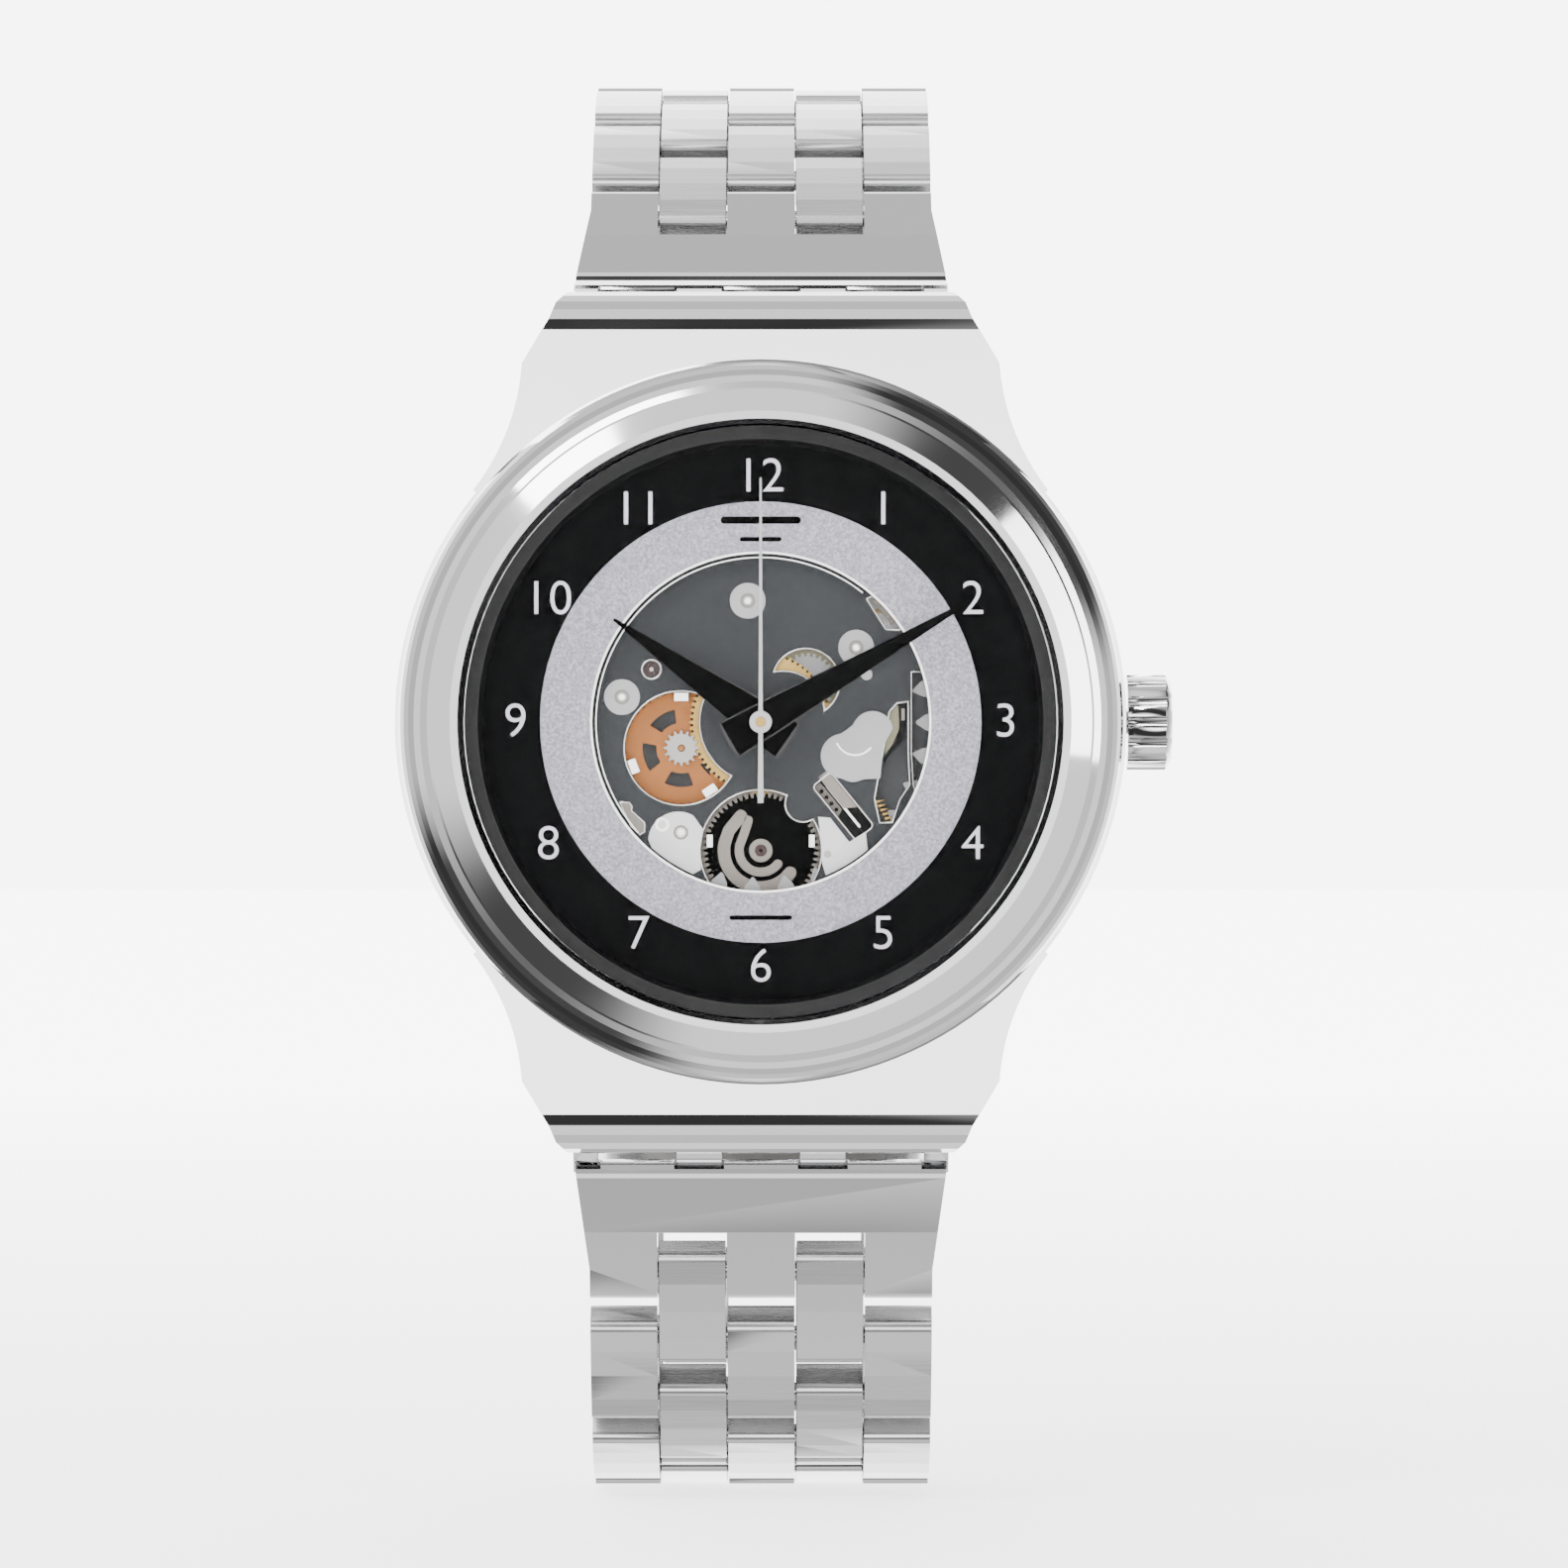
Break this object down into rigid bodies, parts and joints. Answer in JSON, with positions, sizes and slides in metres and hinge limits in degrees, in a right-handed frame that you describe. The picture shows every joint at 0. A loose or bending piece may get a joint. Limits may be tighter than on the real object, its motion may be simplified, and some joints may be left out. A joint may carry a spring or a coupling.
{
  "type": "wristwatch",
  "caption": "Self-winding wristwatch with a dial cut open over its movement, a screw-down style round steel case and a folding steel link bracelet.",
  "frame": {"origin": "centre of the caseback's flat outer face", "axes": "+Y out of the caseback towards the wrist, so the dial faces -Y; +Z towards twelve o'clock; +X towards three o'clock and the crown"},
  "size_m": [0.0448, 0.049, 0.0848],
  "materials": {
    "steel": "satin",
    "crystal": "polished",
    "gasket": "matte",
    "black_lacquer": "gloss",
    "grey_plate": "satin",
    "light_ring": "satin",
    "gilt": "satin",
    "copper": "satin",
    "black_steel": "satin"
  },
  "bodies": {
    "case": {"case_middle": "steel", "bezel": "steel", "crystal": "crystal", "crystal_gasket": "gasket", "flange_ring": "black_lacquer", "dial": "black_lacquer", "caseback_ring": "steel", "caseback_crystal": "crystal", "movement_holder": "steel", "main_plate": "grey_plate", "train_bridge": "grey_plate", "plate_studs": "steel", "lug_pins": "steel"},
    "stem_clip": {"stem_clip": "steel"},
    "crown": {"crown": "steel", "winding_stem": "steel"},
    "hour": {"hour_hand": "black_lacquer", "hour_wheel": "gilt"},
    "minute": {"minute_hand": "black_lacquer", "cannon_pinion": "steel", "centre_wheel": "gilt"},
    "second": {"second_hand": "steel", "fourth_wheel": "gilt"},
    "minute_wheel": {"minute_wheel": "copper"},
    "setting_wheel": {"setting_wheel": "steel"},
    "barrel": {"barrel": "black_steel", "mainspring": "steel"},
    "third_wheel": {"third_wheel": "gilt"},
    "date_ring": {"date_ring": "light_ring"},
    "balance": {"balance_wheel": "gilt", "balance_spring": "steel"},
    "rotor": {"rotor": "steel"},
    "end_link_12": {"end_link_12": "steel"},
    "end_link_6": {"end_link_6": "steel"},
    "clasp_inner_blade": {"clasp_inner_blade": "steel"},
    "clasp_middle_blade": {"clasp_middle_blade": "steel"},
    "clasp_cover": {"clasp_cover": "steel"},
    "clasp_button_left": {"clasp_button_left": "steel"},
    "clasp_button_right": {"clasp_button_right": "steel"},
    "links_12_1": {"links_12_1": "steel"},
    "links_6_1": {"links_6_1": "steel"},
    "links_12_2": {"links_12_2": "steel"},
    "links_6_2": {"links_6_2": "steel"},
    "links_12_3": {"links_12_3": "steel"},
    "links_6_3": {"links_6_3": "steel"},
    "links_12_4": {"links_12_4": "steel"},
    "links_6_4": {"links_6_4": "steel"},
    "links_12_5": {"links_12_5": "steel"},
    "links_6_5": {"links_6_5": "steel"},
    "links_12_6": {"links_12_6": "steel"},
    "links_6_6": {"links_6_6": "steel"},
    "links_12_7": {"links_12_7": "steel"},
    "links_6_7": {"links_6_7": "steel"},
    "links_12_8": {"links_12_8": "steel"},
    "links_6_8": {"links_6_8": "steel"},
    "links_12_9": {"links_12_9": "steel"},
    "links_6_9": {"links_6_9": "steel"},
    "links_12_10": {"links_12_10": "steel"},
    "links_6_10": {"links_6_10": "steel"}
  },
  "joints": [
    {"name": "minute_turn", "type": "hinge", "parent": "case", "child": "minute", "pos_m": [0, -0.008, 0], "axis": [0, 1, 0], "continuous": true},
    {"name": "hour_turn", "type": "hinge", "parent": "case", "child": "hour", "pos_m": [0, -0.008, 0], "axis": [0, 1, 0], "continuous": true},
    {"name": "second_turn", "type": "hinge", "parent": "case", "child": "second", "pos_m": [0, -0.008, 0], "axis": [0, 1, 0], "continuous": true},
    {"name": "minute_wheel_turn", "type": "hinge", "parent": "case", "child": "minute_wheel", "pos_m": [-0.00458, -0.0059, -0.00149], "axis": [0, 1, 0], "continuous": true},
    {"name": "setting_wheel_turn", "type": "hinge", "parent": "case", "child": "setting_wheel", "pos_m": [0.00267, -0.0059, 0.00232], "axis": [0, 1, 0], "continuous": true},
    {"name": "barrel_turn", "type": "hinge", "parent": "case", "child": "barrel", "pos_m": [0, -0.0059, -0.0074], "axis": [0, 1, 0], "continuous": true},
    {"name": "third_wheel_turn", "type": "hinge", "parent": "case", "child": "third_wheel", "pos_m": [-0.00236, -0.0046, 0.00236], "axis": [0, 1, 0], "continuous": true},
    {"name": "date_ring_turn", "type": "hinge", "parent": "case", "child": "date_ring", "pos_m": [0, -0.0075, 0], "axis": [0, 1, 0], "continuous": true},
    {"name": "rotor_turn", "type": "hinge", "parent": "case", "child": "rotor", "pos_m": [0, -0.0025, 0], "axis": [0, 1, 0], "continuous": true},
    {"name": "balance_swing", "type": "hinge", "parent": "case", "child": "balance", "pos_m": [0.0064, -0.0043, 0.0066], "axis": [0, 1, 0], "range_deg": [-270, 270], "stiffness_Nm_per_rad": 0.000001},
    {"name": "crown_pull", "type": "slide", "parent": "case", "child": "stem_clip", "axis": [1, 0, 0], "range_m": [0, 0.0012]},
    {"name": "crown_turn", "type": "hinge", "parent": "stem_clip", "child": "crown", "pos_m": [0.02, -0.0054, 0], "axis": [1, 0, 0], "continuous": true},
    {"name": "end_link_12_pivot", "type": "hinge", "parent": "case", "child": "end_link_12", "pos_m": [0, -0.0032, 0.0232], "axis": [1, 0, 0], "range_deg": [0, 46]},
    {"name": "end_link_6_pivot", "type": "hinge", "parent": "case", "child": "end_link_6", "pos_m": [0, -0.0032, -0.0232], "axis": [-1, 0, 0], "range_deg": [0, 20]},
    {"name": "links_12_1_pivot", "type": "hinge", "parent": "end_link_12", "child": "links_12_1", "pos_m": [0, 0.00349, 0.02966], "axis": [1, 0, 0], "range_deg": [0, 10]},
    {"name": "links_12_2_pivot", "type": "hinge", "parent": "links_12_1", "child": "links_12_2", "pos_m": [0, 0.00714, 0.03212], "axis": [1, 0, 0], "range_deg": [0, 4]},
    {"name": "links_12_3_pivot", "type": "hinge", "parent": "links_12_2", "child": "links_12_3", "pos_m": [0, 0.01095, 0.03432], "axis": [1, 0, 0], "range_deg": [0, 7]},
    {"name": "links_12_4_pivot", "type": "hinge", "parent": "links_12_3", "child": "links_12_4", "pos_m": [0, 0.015, 0.03604], "axis": [1, 0, 0], "range_deg": [0, 7]},
    {"name": "links_12_5_pivot", "type": "hinge", "parent": "links_12_4", "child": "links_12_5", "pos_m": [0, 0.01923, 0.03725], "axis": [1, 0, 0], "range_deg": [0, 10]},
    {"name": "links_12_6_pivot", "type": "hinge", "parent": "links_12_5", "child": "links_12_6", "pos_m": [0, 0.0236, 0.03771], "axis": [1, 0, 0], "range_deg": [0, 20]},
    {"name": "links_12_7_pivot", "type": "hinge", "parent": "links_12_6", "child": "links_12_7", "pos_m": [0, 0.02787, 0.03665], "axis": [1, 0, 0], "range_deg": [0, 23]},
    {"name": "links_12_8_pivot", "type": "hinge", "parent": "links_12_7", "child": "links_12_8", "pos_m": [0, 0.03139, 0.034], "axis": [1, 0, 0], "range_deg": [0, 22]},
    {"name": "links_12_9_pivot", "type": "hinge", "parent": "links_12_8", "child": "links_12_9", "pos_m": [0, 0.03365, 0.03023], "axis": [1, 0, 0], "range_deg": [0, 18]},
    {"name": "links_12_10_pivot", "type": "hinge", "parent": "links_12_9", "child": "links_12_10", "pos_m": [0, 0.03464, 0.02594], "axis": [1, 0, 0], "range_deg": [0, 8]},
    {"name": "links_6_1_pivot", "type": "hinge", "parent": "end_link_6", "child": "links_6_1", "pos_m": [0, -0.00002, -0.03194], "axis": [-1, 0, 0], "range_deg": [0, 7]},
    {"name": "links_6_2_pivot", "type": "hinge", "parent": "links_6_1", "child": "links_6_2", "pos_m": [0, 0.00198, -0.03586], "axis": [-1, 0, 0], "range_deg": [0, 10]},
    {"name": "links_6_3_pivot", "type": "hinge", "parent": "links_6_2", "child": "links_6_3", "pos_m": [0, 0.00463, -0.03937], "axis": [-1, 0, 0], "range_deg": [0, 15]},
    {"name": "links_6_4_pivot", "type": "hinge", "parent": "links_6_3", "child": "links_6_4", "pos_m": [0, 0.00809, -0.04208], "axis": [-1, 0, 0], "range_deg": [0, 15]},
    {"name": "links_6_5_pivot", "type": "hinge", "parent": "links_6_4", "child": "links_6_5", "pos_m": [0, 0.01214, -0.0438], "axis": [-1, 0, 0], "range_deg": [0, 13]},
    {"name": "links_6_6_pivot", "type": "hinge", "parent": "links_6_5", "child": "links_6_6", "pos_m": [0, 0.01648, -0.04457], "axis": [-1, 0, 0], "range_deg": [0, 20]},
    {"name": "links_6_7_pivot", "type": "hinge", "parent": "links_6_6", "child": "links_6_7", "pos_m": [0, 0.02081, -0.0438], "axis": [-1, 0, 0], "range_deg": [0, 22]},
    {"name": "links_6_8_pivot", "type": "hinge", "parent": "links_6_7", "child": "links_6_8", "pos_m": [0, 0.02454, -0.04147], "axis": [-1, 0, 0], "range_deg": [0, 22]},
    {"name": "links_6_9_pivot", "type": "hinge", "parent": "links_6_8", "child": "links_6_9", "pos_m": [0, 0.02713, -0.03791], "axis": [-1, 0, 0], "range_deg": [0, 18]},
    {"name": "links_6_10_pivot", "type": "hinge", "parent": "links_6_9", "child": "links_6_10", "pos_m": [0, 0.02849, -0.03373], "axis": [-1, 0, 0], "range_deg": [0, 10]},
    {"name": "clasp_pivot", "type": "hinge", "parent": "links_12_10", "child": "clasp_inner_blade", "pos_m": [0, 0.03503, 0.02156], "axis": [1, 0, 0], "range_deg": [0, 11.64]},
    {"name": "clasp_middle_fold", "type": "hinge", "parent": "clasp_inner_blade", "child": "clasp_middle_blade", "pos_m": [0, 0.02912, -0.02383], "axis": [-1, 0, 0], "range_deg": [0, 100]},
    {"name": "clasp_cover_fold", "type": "hinge", "parent": "clasp_middle_blade", "child": "clasp_cover", "pos_m": [0, 0.03474, 0.01736], "axis": [1, 0, 0], "range_deg": [0, 85]},
    {"name": "clasp_button_left_press", "type": "slide", "parent": "clasp_cover", "child": "clasp_button_left", "axis": [1, 0, 0], "range_m": [0, 0.0005], "stiffness_N_per_m": 400},
    {"name": "clasp_button_right_press", "type": "slide", "parent": "clasp_cover", "child": "clasp_button_right", "axis": [-1, 0, 0], "range_m": [0, 0.0005], "stiffness_N_per_m": 400}
  ],
  "couplings": [
    {"joint": "hour_turn", "follows": "minute_turn", "ratio": 0.083333},
    {"joint": "second_turn", "follows": "minute_turn", "ratio": 60},
    {"joint": "third_wheel_turn", "follows": "minute_turn", "ratio": -7.5},
    {"joint": "minute_wheel_turn", "follows": "minute_turn", "ratio": -0.42857},
    {"joint": "setting_wheel_turn", "follows": "minute_turn", "ratio": -0.69231},
    {"joint": "barrel_turn", "follows": "minute_turn", "ratio": -0.1},
    {"joint": "date_ring_turn", "follows": "minute_turn", "ratio": 0.0013441}
  ]
}
